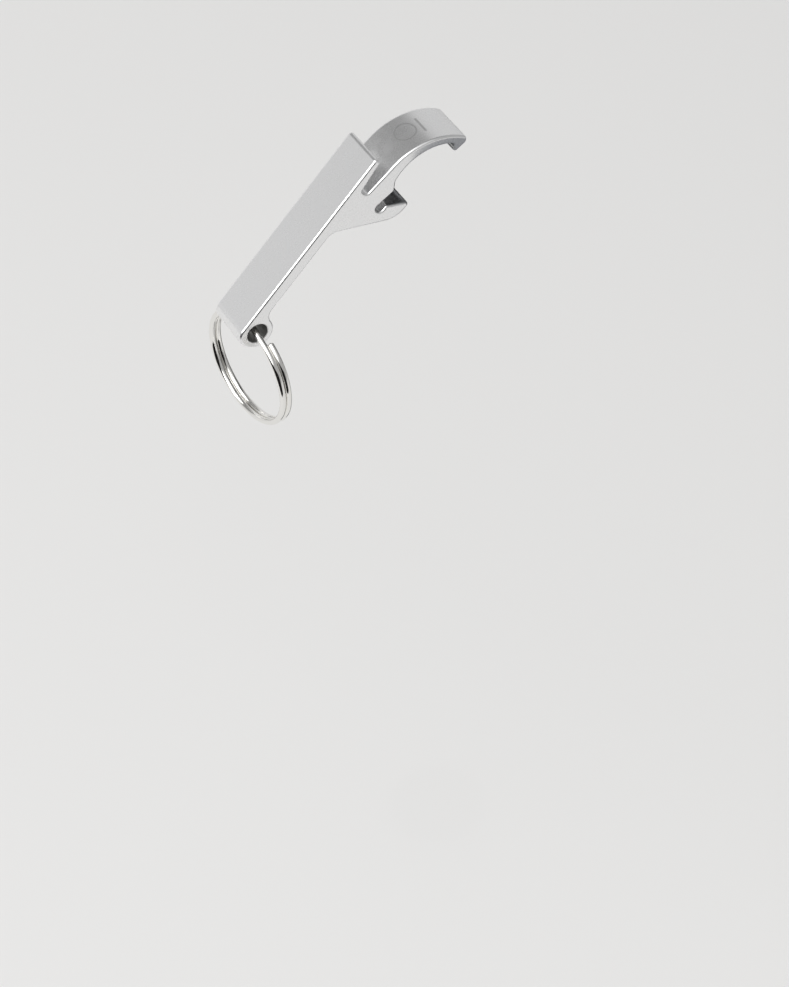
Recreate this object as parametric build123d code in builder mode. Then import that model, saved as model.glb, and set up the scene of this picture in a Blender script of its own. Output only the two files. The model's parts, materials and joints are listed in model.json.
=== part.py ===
"""Keychain bottle opener: a one-piece aluminium lever with a split ring through the eye at its tail.

Frame, in millimetres: the origin is on the toe of the claw's nose, at mid width, where it bears on the
top of a crown cap. +Z is up along the cap's axis, +X runs across the cap from the lever's grip towards
its nose, and +Y runs across the lever's width. The lever leans up as it does when it is hooked on a
capped bottle, and the ring hangs plumb from the eye.

The lever's side outline is drawn in its own upright coordinates: the eye's centre is the zero point,
x runs along the flat grip towards the nose, and y is square to the grip, on its top side.
"""
import os
from math import asin, cos, degrees, radians, sin, sqrt, tan

from build123d import *

# ---- lever: overall ---------------------------------------------------------------------------------
lever_w = 9.9            # width of the extruded section
lever_lean = 45.5        # angle of the grip above level, hooked on a cap
edge_round = 0.5         # rounding of the side faces' edges

# ---- lever: eye and grip bar ------------------------------------------------------------------------
eye_r = 3.4              # outer radius of the eye; the grip's top face is tangent to it
eye_bore_r = 2.15        # hole for the split ring
bore_round = 0.2         # rounding of the hole's rims
tail_round = 2.6         # corner of the tail, above the eye
bar_t = 2.7              # thickness of the grip bar
eye_root_round = 2.5     # inside corner between the eye and the bar
grip_l = 40.3            # from the eye's centre to the front edge of the flat grip

# ---- lever: can-tab slot under the grip's front lip -------------------------------------------------
slot_l = 6.8             # depth of the slot behind the grip's front edge
slot_drop = 2.2          # from the top face down to the slot's ceiling, at its back
slot_h = 1.65            # height of the slot at its back
slot_end_round = 0.7     # corners at the back of the slot
lip_rise = 6.7           # slope of the slot's ceiling, in degrees
lip_front_round = 0.6    # upper front corner of the lip
lip_under_round = 0.8    # lower front corner of the lip

# ---- lever: claw --------------------------------------------------------------------------------------
arm_dip = 7.6            # slope of the arm's top as it leaves the slot, in degrees below the grip
arm_l = 7.3              # straight stretch of the arm's top
claw_outer_r = 13.5      # bend of the claw's outer side
claw_turn = 75.2         # angle that the outer bend turns through
nose_base_l = 5.0        # underside of the nose, from its front corner back to the toe
nose_base_turn = 111.5   # angle between the outer side and the nose's underside
nose_front_round = 1.0   # front corner of the nose
toe_wedge = 37.5         # wedge angle of the toe
toe_round = 0.55         # tip of the toe
toe_root_round = 0.8     # inside corner behind the toe
arm_t = 2.75             # thickness of the arm where it is level with the grip's front edge
mouth_r = 10.3           # bend of the claw's inner side

# ---- lever: heel, notch and tooth -------------------------------------------------------------------
heel_back = 4.0          # heel between the mouth and the notch, behind the grip's front edge
heel_y = -5.85
heel_front_slope = 37.0  # flanks of the heel, in degrees
heel_back_slope = 15.5
heel_round = 0.8
heel_root_round = 1.2    # inside corner between the heel and the mouth
notch_back = 7.85        # centre of the notch's round end, behind the grip's front edge
notch_y = -5.45
notch_r = 0.95
notch_floor_l = 0.75     # straight floor of the notch, out to the tooth
tooth_shoulder_round = 0.6
tooth_slope = 56.0       # slope of the tooth's upper side, in degrees
tooth_round = 0.55       # tip of the tooth
tooth_base_y = -10.88    # underside of the tooth
leg_slope = 54.6         # slope of the leg's back, in degrees
leg_foot_back = 8.15     # where the leg's back would meet the tooth's underside
leg_foot_round = 5.0
leg_root_round = 2.5

# ---- split ring -----------------------------------------------------------------------------------------
ring_d = 24.5            # outside diameter
wire_d = 1.25
turn_gap = 0.05          # between the two turns of wire
crossover_spare = 2.1    # the step from one turn to the other is this much longer than the eye
near_end_gap = 2.0       # from the crossover to the wire's cut end on the near side, in degrees
far_end_gap = 0.9        # from the eye's far face to the wire's other cut end
wire_end_l = 0.2         # tapered tip of each cut end
wire_end_taper = 40.0
ring_turn = 7.5          # how far the hanging ring is turned about the plumb line
ring_shift = 1.2         # how far the ring's centre lies from mid width, towards the near side
rim_gap = 0.23           # between the wire and the far rim of the bore, where the ring hangs
ring_back = -0.1         # how far the ring hangs towards the nose

# ---- worked out -----------------------------------------------------------------------------------------
grip_y = eye_r
bar_y = grip_y - bar_t
slot_x = grip_l - slot_l
slot_top = grip_y - slot_drop
slot_floor = slot_top - slot_h
lip_y = slot_top + slot_l * tan(radians(lip_rise))


def step(start, length, heading):
    """The point that lies a length away from the start, along a heading in degrees."""
    return (start[0] + length * cos(radians(heading)), start[1] + length * sin(radians(heading)))


def crossing(first, first_heading, second, second_heading):
    """The point where two lines meet, each given by a point and a heading in degrees."""
    ax, ay = cos(radians(first_heading)), sin(radians(first_heading))
    bx, by = cos(radians(second_heading)), sin(radians(second_heading))
    reach = ((second[0] - first[0]) * by - (second[1] - first[1]) * bx) / (ax * by - ay * bx)
    return (first[0] + reach * ax, first[1] + reach * ay)


def onto_bend(start, heading, centre, radius):
    """The point where a line that starts inside a circle leaves it."""
    ax, ay = cos(radians(heading)), sin(radians(heading))
    dx, dy = start[0] - centre[0], start[1] - centre[1]
    along = dx * ax + dy * ay
    reach = sqrt(along**2 - dx**2 - dy**2 + radius**2) - along
    return (start[0] + reach * ax, start[1] + reach * ay)


# The outer bend's end, then the nose's underside back to the toe's sharp corner.
arm_end = step((slot_x, slot_floor), arm_l, -arm_dip)
claw_centre = step(arm_end, claw_outer_r, -90 - arm_dip)
nose_heading = -arm_dip - claw_turn
nose_corner = step(claw_centre, claw_outer_r, 90 + nose_heading)
base_heading = nose_heading - nose_base_turn
toe_corner = step(nose_corner, nose_base_l, base_heading)
toe_top_heading = base_heading + 180 + toe_wedge

# The toe's lowest point with the lever leaned up is the origin of the part.
toe_axis = base_heading + 180 + toe_wedge / 2
toe_centre = step(toe_corner, toe_round / sin(radians(toe_wedge / 2)), toe_axis)
toe_tip = step(toe_centre, toe_round, -90 - lever_lean)
eye_x = -toe_tip[0] * cos(radians(lever_lean)) + toe_tip[1] * sin(radians(lever_lean))
eye_z = -toe_tip[0] * sin(radians(lever_lean)) - toe_tip[1] * cos(radians(lever_lean))
side_plane = Plane(
    origin=(eye_x, 0, eye_z),
    x_dir=(cos(radians(lever_lean)), 0, sin(radians(lever_lean))),
    z_dir=(0, -1, 0),
)

# The mouth's bend hangs from the arm's underside, level with the grip's front edge.
mouth_top = (grip_l, slot_floor - slot_l * tan(radians(arm_dip)) - arm_t)
mouth_centre = (mouth_top[0], mouth_top[1] - mouth_r)
toe_root = onto_bend(toe_corner, toe_top_heading, mouth_centre, mouth_r)

# The heel's front flank meets the mouth's bend, and its back flank is tangent to the notch's round end.
heel = (grip_l - heel_back, heel_y)
heel_root = onto_bend(heel, heel_front_slope, mouth_centre, mouth_r)
notch_centre = (grip_l - notch_back, notch_y)
notch_top = step(notch_centre, notch_r, 90 - heel_back_slope)
heel_edge = crossing(notch_top, -heel_back_slope, heel, heel_front_slope)
notch_bottom = step(notch_centre, notch_r, -90)
shoulder = step(notch_bottom, notch_floor_l, 0)
tooth_tip = crossing(shoulder, -tooth_slope, (0, tooth_base_y), 0)
leg_foot = (grip_l - leg_foot_back, tooth_base_y)
leg_root = crossing(leg_foot, 180 - leg_slope, (0, bar_y), 0)

# ---- lever ----------------------------------------------------------------------------------------------
grip_front = (grip_l, grip_y)
lip_front = (grip_l, lip_y)
slot_ceiling = (slot_x, slot_top)
slot_foot = (slot_x, slot_floor)
bar_start = (0, bar_y)
tail_foot = (-eye_r, 0)
tail_corner = (-eye_r, grip_y)

with BuildPart() as opener_lever:
    with BuildSketch(side_plane) as side_outline:
        with BuildLine():
            Polyline(tail_foot, tail_corner, grip_front, lip_front, slot_ceiling, slot_foot, arm_end)
            RadiusArc(arm_end, nose_corner, claw_outer_r)
            Polyline(nose_corner, toe_corner, toe_root)
            RadiusArc(toe_root, heel_root, -mouth_r)
            Polyline(heel_root, heel_edge, notch_top)
            ThreePointArc(notch_top, step(notch_centre, notch_r, 180 - heel_back_slope / 2), notch_bottom)
            Polyline(notch_bottom, shoulder, tooth_tip, leg_foot, leg_root, bar_start, (0, 0), tail_foot)
        make_face()
        Circle(eye_r)
        eye_root = (sqrt(eye_r**2 - bar_y**2), bar_y)
        corners = [
            (tail_corner, tail_round),
            (grip_front, lip_front_round),
            (lip_front, lip_under_round),
            (slot_ceiling, slot_end_round),
            (slot_foot, slot_end_round),
            (nose_corner, nose_front_round),
            (toe_corner, toe_round),
            (toe_root, toe_root_round),
            (heel_root, heel_root_round),
            (heel_edge, heel_round),
            (shoulder, tooth_shoulder_round),
            (tooth_tip, tooth_round),
            (leg_foot, leg_foot_round),
            (leg_root, leg_root_round),
            (eye_root, eye_root_round),
        ]
        for corner, rounding in corners:
            fillet(side_outline.vertices().sort_by_distance(corner)[0], rounding)
        Circle(eye_bore_r, mode=Mode.SUBTRACT)
    extrude(amount=lever_w / 2, both=True)
    side_faces = opener_lever.faces().filter_by(Axis.Y)
    fillet(ShapeList(face.outer_wire().edges() for face in side_faces), edge_round)
    bore_rims = opener_lever.edges().filter_by(GeomType.CIRCLE)
    bore_rims = bore_rims.filter_by(lambda rim: abs(rim.radius - eye_bore_r) < 1e-6)
    fillet(bore_rims, bore_round)
opener_lever.part.label = "opener_lever"

# ---- split ring ------------------------------------------------------------------------------------------
# Angles on the ring run from its top towards the lever's near side (-Y).
ring_r = (ring_d - wire_d) / 2
turn_pitch = wire_d + turn_gap
crossover_half = degrees(asin((lever_w + crossover_spare) / 2 / ring_r))
crossover_pull = 4 / 3 * tan(radians(crossover_half) / 2) * ring_r

# The ring rests on the bore's far rim, and its other cut end stands clear of the eye's far face.
far_reach = lever_w / 2 + ring_shift
rim_drop = sqrt(ring_r**2 - far_reach**2)
rim_slope_cos = rim_drop / ring_r
ring_rise = ring_r - rim_drop + wire_d / 2 / rim_slope_cos + rim_gap - eye_bore_r - bore_round
far_end = degrees(asin((far_reach + far_end_gap) / ring_r))
ring_plane = Plane(
    origin=(eye_x + ring_back, -ring_shift, eye_z + ring_rise - ring_r),
    x_dir=(0, 0, 1),
    z_dir=(cos(radians(ring_turn)), sin(radians(ring_turn)), 0),
)

with BuildPart() as split_ring:
    with BuildLine(ring_plane) as wire:
        near_end = crossover_half + near_end_gap
        front_arc = 360 - crossover_half - near_end
        back_arc = 360 - crossover_half - far_end
        front_turn = CenterArc((0, 0, turn_pitch / 2), ring_r, near_end, front_arc)
        back_turn = CenterArc((0, 0, -turn_pitch / 2), ring_r, crossover_half, back_arc)
        Bezier(
            front_turn @ 1,
            front_turn @ 1 + (front_turn % 1) * crossover_pull,
            back_turn @ 0 - (back_turn % 0) * crossover_pull,
            back_turn @ 0,
        )
    with BuildSketch(Plane(origin=wire.wire() @ 0, z_dir=wire.wire() % 0)):
        Circle(wire_d / 2)
    sweep(path=wire.wire())
    for cut_end in split_ring.faces().filter_by(GeomType.PLANE):
        with BuildSketch(Plane(cut_end)):
            Circle(wire_d / 2)
        extrude(amount=wire_end_l, taper=wire_end_taper)
split_ring.part.label = "split_ring"

os.makedirs("parts", exist_ok=True)
export_step(opener_lever.part, "parts/opener_lever.step")
export_step(split_ring.part, "parts/split_ring.step")
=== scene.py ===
import json
from math import cos, pi, radians, sin

import bpy
from mathutils import Matrix, Vector


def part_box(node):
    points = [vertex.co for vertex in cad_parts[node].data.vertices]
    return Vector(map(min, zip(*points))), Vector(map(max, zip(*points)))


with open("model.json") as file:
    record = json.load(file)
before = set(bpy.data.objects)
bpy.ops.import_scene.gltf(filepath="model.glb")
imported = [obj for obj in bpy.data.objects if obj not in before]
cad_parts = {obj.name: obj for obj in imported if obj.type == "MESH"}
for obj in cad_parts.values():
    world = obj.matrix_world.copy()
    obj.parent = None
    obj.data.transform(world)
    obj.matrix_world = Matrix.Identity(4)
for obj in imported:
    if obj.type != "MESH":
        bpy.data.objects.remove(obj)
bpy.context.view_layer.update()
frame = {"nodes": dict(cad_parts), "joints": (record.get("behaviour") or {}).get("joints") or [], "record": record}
scene = bpy.context.scene
MM = 0.001

# ---- camera -----------------------------------------------------------------------------------------------
CAM_PLACE = Vector((-205.43, -333.41, 312.27)) * MM
CAM_RIGHT = Vector((0.86437, -0.50285, 0.00292))
CAM_UP = Vector((0.36142, 0.62528, 0.69166))
CAM_LENS = 96.82          # on a sensor 36 mm high
CAM_SENSOR = 36.0
CAM_NEAR, CAM_FAR = 0.01, 20.0

# ---- stage ------------------------------------------------------------------------------------------------
FLOOR_Z = -0.207          # a capped bottle's height below the claw
FLOOR_HALF = 3.0
FLOOR_COLOUR = (0.78, 0.776, 0.768)

SOFTBOX_AZ, SOFTBOX_EL, SOFTBOX_FAR = 201.0, 42.0, 2.4
SOFTBOX_W, SOFTBOX_H = 2.75, 2.85
SOFTBOX_GLOW = 2.35       # how bright the softbox's face is

FLAG_AZ, FLAG_FAR = -134.5, 0.30
FLAG_W, FLAG_TOP = 0.60, 0.055

CAP_X, CAP_R = 0.0022, 0.0125
CAP_TOP, CAP_FOOT = -0.0012, -0.007
NECK_R = 0.0115
POST_SIDES = 48

# How brightly the room glows: its walls low down, and its ceiling.
WALL_DULL, WALL_PALE = 0.44, 0.80         # in front of the lever, and behind it
WALL_FADE = 0.08                          # how much duller the walls are to the right
CEILING_DULL, CEILING_PALE = 0.28, 0.85   # away from the pale patch, and in it
PATCH_WAY = (-0.35, -0.55, 0.76)
PATCH_EDGE, PATCH_CORE = 0.50, 0.86       # cosines of the patch's edge and of its even middle
WALL_TOP, CEILING_EDGE = 0.49, 0.63       # heights on the unit sphere
WALL_TOP_SLOPE = 0.2                      # the walls' top rises to the right

# ---- lever ------------------------------------------------------------------------------------------------
BORE_R = 2.15             # the eye's bore, in mm
DIE_LINES = 9.0           # extrusion lines in the profile's plane, per mm
DIE_DRIFT = 0.12          # how fast a line changes across the lever, per mm
GRAIN = 6.5               # tumbled grain, per mm
CLOUD = 0.45              # slow unevenness of the finish, per mm
LEVER_ROUGH = 0.275
LEVER_DARK = (0.835, 0.835, 0.84, 1)
LEVER_PALE = (0.905, 0.905, 0.905, 1)
BORE_PAINTED_SHADE = (0.54, 0.54, 0.53, 1)
LEVER_BUMP = 0.003        # in mm
DIE_HEIGHT, GRAIN_HEIGHT, CLOUD_HEIGHT = 0.6, 0.5, 0.8   # shares of the bump
CLOUD_ROUGH, GRAIN_ROUGH = 0.10, 0.06     # how far the finish varies in roughness
EDGE_ROUGH, BORE_ROUGH, MARK_ROUGH = 0.02, 0.15, 0.12    # what each adds to the roughness
CLOUD_TONE, GRAIN_TONE = 0.06, 0.05       # how far the finish varies between dark and pale

ARC_MID = (-5.005, 0.0, -8.909)   # centre of the arm's outer arc, in mm
ARC_R = 13.5
MARK_ANGLE, MARK_Y = 103.0, 0.2   # the etched mark's place round the arc and across it
MARK_R, MARK_LINE = 2.1, 0.22
MARK_SOFT = 0.05                  # softness of the bar's ends
BAR_AT, BAR_HALF = 3.3, 2.1
MARK_COLOUR = (0.50, 0.50, 0.50, 1)
MARK_STRENGTH = 0.8

# ---- ring -------------------------------------------------------------------------------------------------
DRAWN_LINES = 11.0        # drawing lines along the wire, per mm across it
HAZE = 0.9                # uneven haze of the plating, per mm
RING_ROUGH, RING_ROUGH_MIN = 0.07, 0.03
RING_DARK = (0.83, 0.82, 0.79, 1)
RING_PALE = (0.90, 0.89, 0.87, 1)
RING_BUMP = 0.0015        # in mm
HAZE_ROUGH, DRAWN_ROUGH = 0.08, 0.05      # how far the plating varies in roughness
HAZE_TONE = 0.25                          # how far it varies between dark and pale


class Nodes:
    """Adds nodes to a tree and wires them: an input may be a number, a vector or another node's output."""

    def __init__(self, tree):
        self.tree = tree

    def set(self, socket, value):
        if isinstance(value, bpy.types.NodeSocket):
            self.tree.links.new(value, socket)
        else:
            socket.default_value = value

    def add(self, kind, out=0, props=None, **inputs):
        """A new node's output; an input is named, or is i and its number."""
        node = self.tree.nodes.new(kind)
        for key, value in (props or {}).items():
            setattr(node, key, value)
        for key, value in inputs.items():
            where = int(key[1:]) if key[0] == "i" and key[1:].isdigit() else key.replace("_", " ")
            self.set(node.inputs[where], value)
        return node.outputs[out]

    def math(self, op, a, b=0.0, c=0.0):
        return self.add("ShaderNodeMath", props={"operation": op}, i0=a, i1=b, i2=c)

    def vmath(self, op, a, b=(0, 0, 0), out=0):
        return self.add("ShaderNodeVectorMath", out=out, props={"operation": op}, i0=a, i1=b)

    def ramp(self, value, low, high, to_low=0.0, to_high=1.0):
        props = {"interpolation_type": "SMOOTHSTEP"}
        return self.add("ShaderNodeMapRange", props=props, i0=value, i1=low, i2=high, i3=to_low, i4=to_high)

    def mix(self, factor, a, b):
        return self.add("ShaderNodeMix", props={"data_type": "FLOAT"}, i0=factor, i2=a, i3=b)

    def mix_colour(self, factor, a, b):
        return self.add("ShaderNodeMix", out=2, props={"data_type": "RGBA"}, i0=factor, i6=a, i7=b)

    def split(self, vector):
        node = self.tree.nodes.new("ShaderNodeSeparateXYZ")
        self.set(node.inputs[0], vector)
        return node.outputs

    def join(self, x, y, z):
        return self.add("ShaderNodeCombineXYZ", i0=x, i1=y, i2=z)

    def noise(self, vector, scale, detail=2.0, rough=0.5):
        return self.add("ShaderNodeTexNoise", i0=vector, Scale=scale, Detail=detail, Roughness=rough)

    def vary(self, noise, amount, base):
        """The base value, moved up and down by a noise that is centred on a half."""
        return self.math("MULTIPLY_ADD", self.math("SUBTRACT", noise, 0.5), amount, base)

    def millimetres(self):
        """The object's own coordinates, in mm."""
        return self.vmath("MULTIPLY", self.add("ShaderNodeTexCoord", out=3), (1 / MM, 1 / MM, 1 / MM))


def material(name, colour, metallic, roughness):
    made = bpy.data.materials.new(name)
    made.use_nodes = True
    shader = made.node_tree.nodes["Principled BSDF"]
    shader.inputs["Base Color"].default_value = (*colour, 1)
    shader.inputs["Metallic"].default_value = metallic
    shader.inputs["Roughness"].default_value = roughness
    return made


def heading(azimuth, elevation):
    a, e = radians(azimuth), radians(elevation)
    return Vector((cos(e) * cos(a), cos(e) * sin(a), sin(e)))


# ---- camera and stage -------------------------------------------------------------------------------------
def add_camera():
    cam_data = bpy.data.cameras.new("camera")
    cam_data.sensor_fit = "VERTICAL"
    cam_data.sensor_height = CAM_SENSOR
    cam_data.lens = CAM_LENS
    cam_data.clip_start = CAM_NEAR
    cam_data.clip_end = CAM_FAR
    camera = bpy.data.objects.new("camera", cam_data)
    scene.collection.objects.link(camera)
    cam_back = CAM_RIGHT.cross(CAM_UP).normalized()
    cam_turn = Matrix((CAM_RIGHT, CAM_UP, cam_back)).transposed()
    camera.matrix_world = Matrix.Translation(CAM_PLACE) @ cam_turn.to_4x4()
    scene.camera = camera
    scene.view_settings.view_transform = "Standard"


def add_stage(name, points, faces, place, mats):
    """A stage object made from points and faces, with its materials in slot order."""
    mesh = bpy.data.meshes.new(name)
    mesh.from_pydata(points, [], faces)
    for mat in mats:
        mesh.materials.append(mat)
    obj = bpy.data.objects.new(name, mesh)
    obj.location = place
    scene.collection.objects.link(obj)
    return obj


def panel(name, width, height, place, facing, mat):
    """A flat card of that size, centred at a place and turned to face a direction."""
    x, y = width / 2, height / 2
    corners = [(-x, -y, 0), (x, -y, 0), (x, y, 0), (-x, y, 0)]
    card = add_stage(name, corners, [(0, 1, 2, 3)], place, [mat])
    card.rotation_euler = Vector(facing).to_track_quat("Z", "Y").to_euler()
    return card


def post(name, radius, low, high, wall_mat, top_mat):
    """An upright cylinder on the cap's axis, closed on top."""
    turns = [2 * pi * i / POST_SIDES for i in range(POST_SIDES)]
    points = [(radius * cos(t), radius * sin(t), z) for z in (low, high) for t in turns]
    faces = []
    for i in range(POST_SIDES):
        after = (i + 1) % POST_SIDES
        faces.append((i, after, after + POST_SIDES, i + POST_SIDES))
    faces.append(tuple(range(POST_SIDES, 2 * POST_SIDES)))
    obj = add_stage(name, points, faces, (CAP_X, 0, 0), [wall_mat, top_mat])
    obj.data.polygons[POST_SIDES].material_index = 1
    return obj


def add_reflected_cards():
    """A flag in front of the lever, and posts where the bottle's cap and neck would be.

    The camera doesn't see them and they cast no shadow: they only darken reflections.
    """
    black = material("flag_black", (0.004, 0.004, 0.004), 0.0, 1.0)
    grey = material("post_grey", (0.24, 0.245, 0.26), 0.0, 0.6)
    dark = material("post_dark", (0.03, 0.033, 0.036), 0.0, 0.6)
    flag_place = heading(FLAG_AZ, 0) * FLAG_FAR + Vector((0, 0, (FLOOR_Z + FLAG_TOP) / 2))
    cards = [
        panel("flag", FLAG_W, FLAG_TOP - FLOOR_Z, flag_place, -heading(FLAG_AZ, 0), black),
        post("cap_post", CAP_R, CAP_FOOT, CAP_TOP, dark, grey),
        post("neck_post", NECK_R, FLOOR_Z, CAP_FOOT, dark, dark),
    ]
    for card in cards:
        card.visible_camera = False
        card.visible_diffuse = False
        card.visible_shadow = False


def add_softbox():
    box_data = bpy.data.lights.new("softbox", "AREA")
    box_data.shape = "RECTANGLE"
    box_data.size = SOFTBOX_W
    box_data.size_y = SOFTBOX_H
    box_data.energy = SOFTBOX_GLOW * pi * SOFTBOX_W * SOFTBOX_H
    softbox = bpy.data.objects.new("softbox", box_data)
    softbox.location = heading(SOFTBOX_AZ, SOFTBOX_EL) * SOFTBOX_FAR
    softbox.rotation_euler = heading(SOFTBOX_AZ, SOFTBOX_EL).to_track_quat("Z", "Y").to_euler()
    softbox.visible_camera = False
    scene.collection.objects.link(softbox)


def add_room():
    """The room's walls are palest behind the lever. Its ceiling is dull, but for a pale patch in front."""
    world = bpy.data.worlds.new("studio")
    scene.world = world
    world.use_nodes = True
    sky = Nodes(world.node_tree)
    x, y, z = sky.split(sky.add("ShaderNodeTexCoord", out=0))
    wall = sky.ramp(y, 0.1, 1.0, WALL_DULL, WALL_PALE)
    wall = sky.math("MULTIPLY", wall, sky.math("MULTIPLY_ADD", x, -WALL_FADE, 1.0))
    to_patch = sky.vmath("DOT_PRODUCT", sky.join(x, y, z), PATCH_WAY, out=1)
    ceiling = sky.ramp(to_patch, PATCH_EDGE, PATCH_CORE, CEILING_DULL, CEILING_PALE)
    height = sky.math("MULTIPLY_ADD", x, -WALL_TOP_SLOPE, z)
    background = world.node_tree.nodes["Background"]
    background.inputs["Color"].default_value = (1, 1, 1, 1)
    glow = sky.mix(sky.ramp(height, WALL_TOP, CEILING_EDGE), wall, ceiling)
    sky.set(background.inputs["Strength"], glow)


# ---- lever: satin aluminium -------------------------------------------------------------------------------
def etched_mark(lev, place, across):
    """A mask for the faint mark on top of the arm: a circle's outline and a short bar on its nose side."""
    arc_x, _, arc_z = lev.split(lev.vmath("SUBTRACT", place, ARC_MID))
    arc_angle = lev.math("ARCTAN2", arc_z, arc_x)
    mark_u = lev.math("MULTIPLY", lev.math("SUBTRACT", radians(MARK_ANGLE), arc_angle), ARC_R)
    mark_v = lev.math("SUBTRACT", across, MARK_Y)
    mark_far = lev.vmath("LENGTH", lev.join(mark_u, mark_v, 0.0), out=1)
    off_circle = lev.math("ABSOLUTE", lev.math("SUBTRACT", mark_far, MARK_R))
    outline = lev.ramp(off_circle, MARK_LINE, MARK_LINE / 2)
    off_bar = lev.math("ABSOLUTE", lev.math("SUBTRACT", mark_u, BAR_AT))
    bar_u = lev.ramp(off_bar, MARK_LINE * 1.3, MARK_LINE * 0.9)
    bar_v = lev.ramp(lev.math("ABSOLUTE", mark_v), BAR_HALF + MARK_SOFT, BAR_HALF - MARK_SOFT)
    mark = lev.math("MAXIMUM", outline, lev.math("MULTIPLY", bar_u, bar_v))
    arc_far = lev.vmath("LENGTH", lev.join(arc_x, 0.0, arc_z), out=1)
    return lev.math("MULTIPLY", mark, lev.ramp(arc_far, ARC_R - 0.3, ARC_R - 0.15))


def lever_aluminium(grip_up, eye):
    """Satin metal; grip_up is square to the grip's top, and eye is the eye's centre in mm."""
    made = material("lever_aluminium", (0.88, 0.88, 0.885), 1.0, LEVER_ROUGH)
    shader = made.node_tree.nodes["Principled BSDF"]
    lev = Nodes(made.node_tree)
    grip_along = Vector((grip_up.z, 0, -grip_up.x))
    place = lev.millimetres()
    from_eye = lev.vmath("SUBTRACT", place, tuple(eye))
    along = lev.vmath("DOT_PRODUCT", from_eye, tuple(grip_along), out=1)
    above = lev.vmath("DOT_PRODUCT", from_eye, tuple(grip_up), out=1)
    across = lev.split(place)[1]
    facing = lev.add("ShaderNodeNewGeometry", out=1)
    sideways = lev.math("ABSOLUTE", lev.split(facing)[1])

    # Faint lines from the extrusion die run across the lever, on every face but the two sawn sides.
    die_place = lev.join(
        lev.math("MULTIPLY", along, DIE_LINES),
        lev.math("MULTIPLY", across, DIE_DRIFT),
        lev.math("MULTIPLY", above, DIE_LINES),
    )
    die = lev.math("MULTIPLY", lev.noise(die_place, 1.0, 2.0, 0.6), lev.ramp(sideways, 0.15, 0.02))
    grain = lev.noise(place, GRAIN, 3.0, 0.6)
    cloud = lev.noise(place, CLOUD, 3.0, 0.55)

    # The rounded edges are a little rougher than the faces, and the bore is rougher, with painted shade darkening
    # its colour.
    edge_mask = lev.math("MULTIPLY", lev.ramp(sideways, 0.10, 0.35), lev.ramp(sideways, 0.995, 0.93))
    bore_far = lev.vmath("LENGTH", lev.join(along, above, 0.0), out=1)
    near_bore = lev.ramp(bore_far, BORE_R + 0.12, BORE_R + 0.02)
    bore_rough_and_shade_mask = lev.math("MULTIPLY", near_bore, lev.ramp(sideways, 0.6, 0.1))
    mark = etched_mark(lev, place, across)

    rough = lev.vary(cloud, CLOUD_ROUGH, LEVER_ROUGH)
    rough = lev.math("MULTIPLY_ADD", mark, MARK_ROUGH, rough)
    rough = lev.vary(grain, GRAIN_ROUGH, rough)
    rough = lev.math("MULTIPLY_ADD", edge_mask, EDGE_ROUGH, rough)
    rough = lev.math("MULTIPLY_ADD", bore_rough_and_shade_mask, BORE_ROUGH, rough)
    lev.set(shader.inputs["Roughness"], rough)

    tone = lev.vary(grain, GRAIN_TONE, lev.vary(cloud, CLOUD_TONE, 0.5))
    metal = lev.mix_colour(tone, LEVER_DARK, LEVER_PALE)
    # Painted shade: the bore's inside is mixed towards a darker grey that stands in for the shade in that recess.
    metal = lev.mix_colour(bore_rough_and_shade_mask, metal, BORE_PAINTED_SHADE)
    metal = lev.mix_colour(lev.math("MULTIPLY", mark, MARK_STRENGTH), metal, MARK_COLOUR)
    lev.set(shader.inputs["Base Color"], metal)

    height = lev.math("MULTIPLY", die, DIE_HEIGHT)
    height = lev.math("MULTIPLY_ADD", grain, GRAIN_HEIGHT, height)
    height = lev.math("MULTIPLY_ADD", cloud, CLOUD_HEIGHT, height)
    bump = lev.add("ShaderNodeBump", Height=height, Strength=1.0, Distance=LEVER_BUMP * MM)
    lev.set(shader.inputs["Normal"], bump)
    return made


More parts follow.
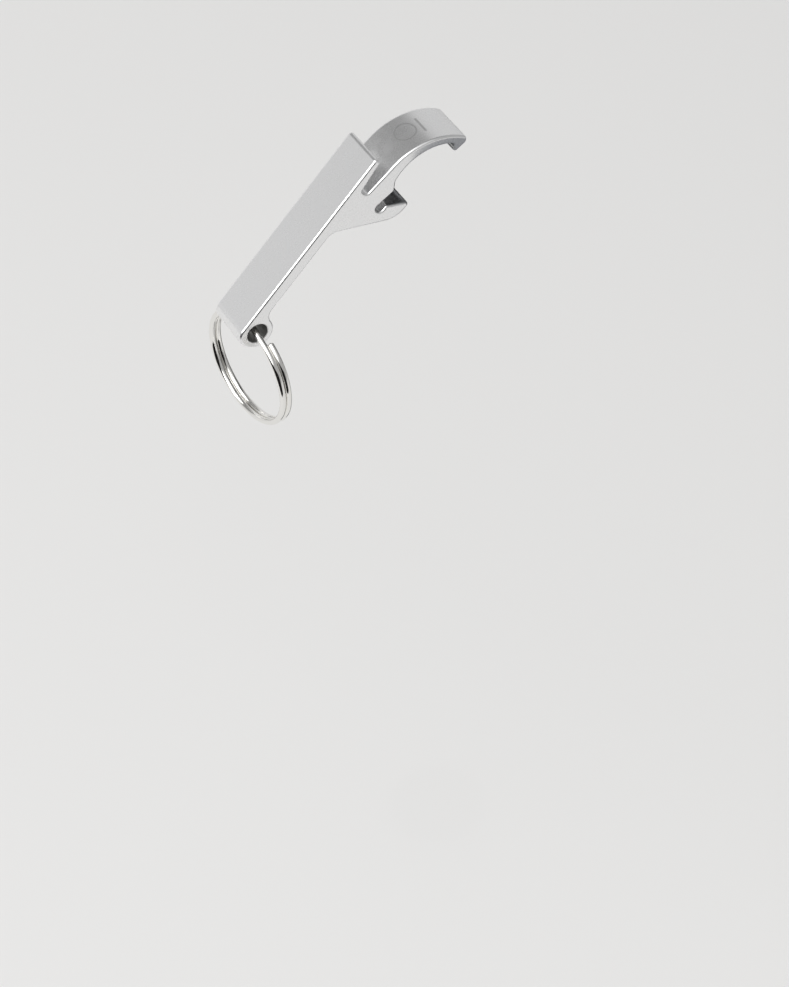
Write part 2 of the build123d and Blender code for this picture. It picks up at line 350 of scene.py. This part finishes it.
# ---- split ring: bright nickel ----------------------------------------------------------------------------
def ring_nickel(ring_mid, ring_axis):
    """Bright plated wire; the ring's middle is in mm, and its axis is square to the ring."""
    made = material("ring_nickel", (0.86, 0.85, 0.83), 1.0, RING_ROUGH)
    shader = made.node_tree.nodes["Principled BSDF"]
    rin = Nodes(made.node_tree)
    place = rin.millimetres()
    from_mid = rin.vmath("SUBTRACT", place, tuple(ring_mid))
    side = rin.vmath("DOT_PRODUCT", from_mid, tuple(ring_axis), out=1)
    radius = rin.vmath("LENGTH", from_mid, out=1)
    drawn_place = rin.join(
        rin.math("MULTIPLY", side, DRAWN_LINES),
        rin.math("MULTIPLY", radius, DRAWN_LINES),
        0.0,
    )
    drawn = rin.noise(drawn_place, 1.0, 3.0, 0.65)
    haze = rin.noise(place, HAZE, 3.0, 0.6)
    rough = rin.vary(drawn, DRAWN_ROUGH, rin.vary(haze, HAZE_ROUGH, RING_ROUGH))
    rin.set(shader.inputs["Roughness"], rin.math("MAXIMUM", rough, RING_ROUGH_MIN))
    rin.set(shader.inputs["Base Color"], rin.mix_colour(rin.vary(haze, HAZE_TONE, 0.5), RING_DARK, RING_PALE))
    bump = rin.add("ShaderNodeBump", Height=drawn, Strength=1.0, Distance=RING_BUMP * MM)
    rin.set(shader.inputs["Normal"], bump)
    return made


# ---- the scene --------------------------------------------------------------------------------------------
add_camera()
floor_mat = material("floor_pale", FLOOR_COLOUR, 0.0, 0.7)
panel("floor", 2 * FLOOR_HALF, 2 * FLOOR_HALF, (0, 0, FLOOR_Z), (0, 0, 1), floor_mat)
add_softbox()
add_reflected_cards()
add_room()

mounts = {mount["name"]: mount for mount in frame["record"]["mounts"]}
eye_centre = Vector(frame["joints"][0]["pos_m"]) / MM
ring_low, ring_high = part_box("split_ring")
looks = {
    "opener_lever": lever_aluminium(Vector(mounts["grip_face"]["axis"]), eye_centre),
    "split_ring": ring_nickel((ring_low + ring_high) / 2 / MM, Vector(mounts["key_loop"]["axis"])),
}
for node, mat in looks.items():
    piece = frame["nodes"][node]
    piece.data.materials.clear()
    piece.data.materials.append(mat)
